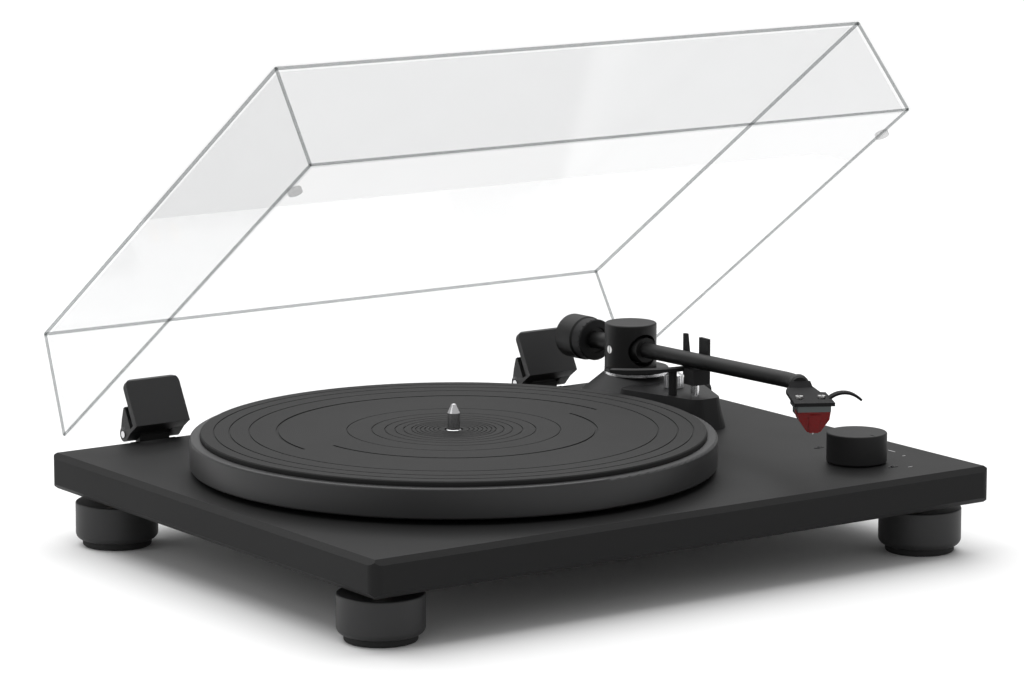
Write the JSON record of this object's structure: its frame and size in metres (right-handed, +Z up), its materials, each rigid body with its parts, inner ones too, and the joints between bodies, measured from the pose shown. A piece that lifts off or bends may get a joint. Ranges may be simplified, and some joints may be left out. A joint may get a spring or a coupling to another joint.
{
  "type": "turntable",
  "caption": "Belt-drive record player: flat black plinth on round feet, platter with ribbed mat, bent tonearm, speed knob and a hinged clear dust cover.",
  "frame": {"origin": "centre of the overall box on the floor plane", "axes": "+X to the right seen from the front, +Y to the back where the hinges are, +Z up"},
  "size_m": [0.42, 0.3678, 0.2973],
  "materials": {
    "plinth_finish": "fine matte black texture",
    "cover_steel": "black powder coat",
    "screw_steel": "plated screws",
    "brass": "turned brass",
    "foot_plastic": "matte black",
    "pad_rubber": "black rubber",
    "platter_metal": "satin black",
    "mat_rubber": "matte rubber",
    "spindle_steel": "ground steel",
    "motor_steel": "zinc plated",
    "aluminium": "turned and clear anodised",
    "belt_rubber": "ground rubber",
    "board_green": "circuit board",
    "control_plastic": "matte black",
    "lens": "smoked light pipe",
    "arm_plastic": "matte black",
    "arm_metal": "satin black",
    "cartridge_grey": "dark grey",
    "stylus_red": "translucent dark red",
    "hinge_plastic": "matte black",
    "hinge_steel": "bright pins",
    "clear_cover": "clear, polished edges",
    "clear_bumper": "clear, soft"
  },
  "bodies": {
    "base": {"plinth": "plinth_finish", "bottom_cover": "cover_steel", "cover_screws": "screw_steel", "foot_inserts": "brass", "main_bearing": "brass", "bearing_screws": "screw_steel", "thrust_ball": "spindle_steel", "motor": "motor_steel", "drive_belt": "belt_rubber", "circuit_board": "board_green", "speed_switch": "control_plastic", "indicator_lights": "lens", "rear_panel": "cover_steel", "signal_sockets": "brass", "power_inlet": "control_plastic", "ground_terminal": "aluminium", "arm_base": "arm_plastic", "arm_bearing": "brass", "base_ring": "aluminium", "swivel_plate": "arm_metal", "arm_rest_post": "aluminium", "arm_rest": "control_plastic", "hinge_brackets": "cover_steel", "hinge_pins": "hinge_steel"},
    "platter": {"platter": "platter_metal", "platter_mat": "mat_rubber", "spindle": "spindle_steel"},
    "pulley": {"pulley": "aluminium"},
    "dust_cover": {"dust_cover": "clear_cover", "hinge_sockets": "hinge_plastic", "cover_bumpers": "clear_bumper"},
    "arm_pivot": {"pivot_housing": "arm_metal", "pivot_screws": "screw_steel"},
    "arm": {"pivot_block": "arm_metal", "arm_tube": "arm_metal", "headshell_collar": "arm_metal", "headshell": "arm_plastic", "headshell_screws": "screw_steel", "cartridge_body": "cartridge_grey", "stylus_holder": "stylus_red", "cantilever": "aluminium"},
    "counterweight": {"counterweight": "arm_metal"},
    "weight_dial": {"weight_dial": "control_plastic"},
    "antiskate_knob": {"antiskate_knob": "aluminium"},
    "lift_platform": {"lift_platform": "control_plastic"},
    "lift_lever": {"lift_lever": "control_plastic"},
    "speed_knob": {"speed_knob": "control_plastic"},
    "preamp_switch": {"preamp_switch": "control_plastic"},
    "foot_front_left": {"foot_front_left": "foot_plastic", "stud_front_left": "screw_steel", "pad_front_left": "pad_rubber"},
    "foot_front_right": {"foot_front_right": "foot_plastic", "stud_front_right": "screw_steel", "pad_front_right": "pad_rubber"},
    "foot_back_left": {"foot_back_left": "foot_plastic", "stud_back_left": "screw_steel", "pad_back_left": "pad_rubber"},
    "foot_back_right": {"foot_back_right": "foot_plastic", "stud_back_right": "screw_steel", "pad_back_right": "pad_rubber"}
  },
  "joints": [
    {"name": "platter_spin", "type": "hinge", "parent": "base", "child": "platter", "pos_m": [-0.0444, -0.0142, 0.071], "axis": [0, 0, 1], "continuous": true},
    {"name": "pulley_spin", "type": "hinge", "parent": "base", "child": "pulley", "pos_m": [-0.11157, 0.05298, 0.058], "axis": [0, 0, 1], "continuous": true},
    {"name": "cover_hinge", "type": "hinge", "parent": "base", "child": "dust_cover", "pos_m": [0, 0.1621, 0.0551], "axis": [-1, 0, 0], "range_deg": [-35, 15]},
    {"name": "arm_turn", "type": "hinge", "parent": "base", "child": "arm_pivot", "pos_m": [0.1425, 0.0701, 0.0895], "axis": [0, 0, -1], "range_deg": [0, 43]},
    {"name": "arm_lift", "type": "hinge", "parent": "arm_pivot", "child": "arm", "pos_m": [0.1425, 0.0701, 0.0895], "axis": [-0.9991, 0.0419, 0], "range_deg": [0, 3]},
    {"name": "weight_slide", "type": "slide", "parent": "arm", "child": "counterweight", "axis": [-0.0419, -0.9986, 0.0332], "range_m": [0, 0.012]},
    {"name": "dial_turn", "type": "hinge", "parent": "counterweight", "child": "weight_dial", "pos_m": [0.14445, 0.11654, 0.08796], "axis": [-0.0419, -0.9986, 0.0332], "continuous": true},
    {"name": "antiskate_turn", "type": "hinge", "parent": "base", "child": "antiskate_knob", "pos_m": [0.14692, 0.03239, 0.07], "axis": [0, 0, 1], "range_deg": [0, 300]},
    {"name": "platform_drop", "type": "slide", "parent": "base", "child": "lift_platform", "axis": [0, 0, 1], "range_m": [-0.004, 0]},
    {"name": "lever_turn", "type": "hinge", "parent": "base", "child": "lift_lever", "pos_m": [0.14141, 0.04413, 0.064], "axis": [0.9991, -0.0419, 0], "range_deg": [-0.2, 15.3]},
    {"name": "speed_turn", "type": "hinge", "parent": "base", "child": "speed_knob", "pos_m": [0.154, -0.1314, 0.0594], "axis": [0, 0, 1], "range_deg": [-45, 45]},
    {"name": "preamp_slide", "type": "slide", "parent": "base", "child": "preamp_switch", "axis": [1, 0, 0], "range_m": [0, 0.003]},
    {"name": "level_front_left", "type": "slide", "parent": "base", "child": "foot_front_left", "axis": [0, 0, 1], "range_m": [-0.004, 0.0025]},
    {"name": "level_front_right", "type": "slide", "parent": "base", "child": "foot_front_right", "axis": [0, 0, 1], "range_m": [-0.004, 0.0025]},
    {"name": "level_back_left", "type": "slide", "parent": "base", "child": "foot_back_left", "axis": [0, 0, 1], "range_m": [-0.004, 0.0025]},
    {"name": "level_back_right", "type": "slide", "parent": "base", "child": "foot_back_right", "axis": [0, 0, 1], "range_m": [-0.004, 0.0025]}
  ],
  "couplings": [
    {"joint": "pulley_spin", "follows": "platter_spin", "ratio": 8},
    {"joint": "lever_turn", "follows": "platform_drop", "rad_per_m": -65.45}
  ]
}
